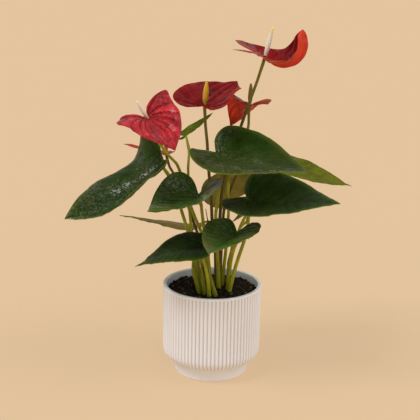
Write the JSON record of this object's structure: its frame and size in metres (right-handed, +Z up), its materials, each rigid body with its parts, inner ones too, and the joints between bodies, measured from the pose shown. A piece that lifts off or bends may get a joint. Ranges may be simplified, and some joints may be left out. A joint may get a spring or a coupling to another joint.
{
  "type": "potted anthurium",
  "caption": "Potted anthurium: ribbed footed cover pot with soil, long-stalked heart-shaped leaves, and red spathes on stalks, each with an upright spadix.",
  "frame": {"origin": "centre of the flat underside of the pot's foot", "axes": "+Z up along the pot's axis, -Y towards the viewer of the plant's front, +X to the viewer's right"},
  "size_m": [0.375, 0.2493, 0.4523],
  "materials": {
    "pot": "matt white, fine upright ribs",
    "soil": "dark moist potting mix",
    "leaf_dark": "glossy dark green leaf with a pale margin",
    "leaf_light": "yellow-green leaf, lit through",
    "leaf_underside": "olive leaf underside",
    "petiole": "smooth yellow-green stalk",
    "peduncle": "dark red-brown stalk",
    "spathe": "waxy red, glossy veins",
    "spadix_cream": "fine bumpy cream rod",
    "spadix_yellow": "fine bumpy yellow rod",
    "spadix_olive": "fine bumpy olive rod",
    "sheath": "fleshy green sheath",
    "shoot": "red-brown young shoot"
  },
  "bodies": {
    "root": {"bract_red": "shoot", "leaf_big_left": "leaf_dark", "leaf_edge_left": "leaf_light", "leaf_far_right": "leaf_light", "leaf_front": "leaf_dark", "leaf_low_left": "leaf_dark", "leaf_lower_right": "leaf_dark", "leaf_mid_left": "leaf_dark", "leaf_rear": "leaf_underside", "leaf_small": "leaf_underside", "leaf_upper_right": "leaf_dark", "leaf_young": "leaf_light", "peduncle_left": "petiole", "peduncle_middle": "peduncle", "peduncle_rear": "peduncle", "peduncle_right": "peduncle", "peduncle_tall": "peduncle", "petiole_big_left": "petiole", "petiole_edge_left": "petiole", "petiole_far_right": "petiole", "petiole_front": "petiole", "petiole_low_left": "petiole", "petiole_lower_right": "petiole", "petiole_mid_left": "petiole", "petiole_rear": "petiole", "petiole_small": "petiole", "petiole_upper_right": "petiole", "petiole_young": "petiole", "pot": "pot", "sheath_front": "sheath", "sheath_left": "sheath", "sheath_middle": "sheath", "shoot_red": "shoot", "soil": "soil", "spadix_left": "spadix_cream", "spadix_middle": "spadix_yellow", "spadix_rear": "spadix_yellow", "spadix_right": "spadix_olive", "spadix_tall": "spadix_cream", "spathe_left": "spathe", "spathe_middle": "spathe", "spathe_rear": "spathe", "spathe_right": "spathe", "spathe_tall": "spathe"}
  },
  "joints": []
}
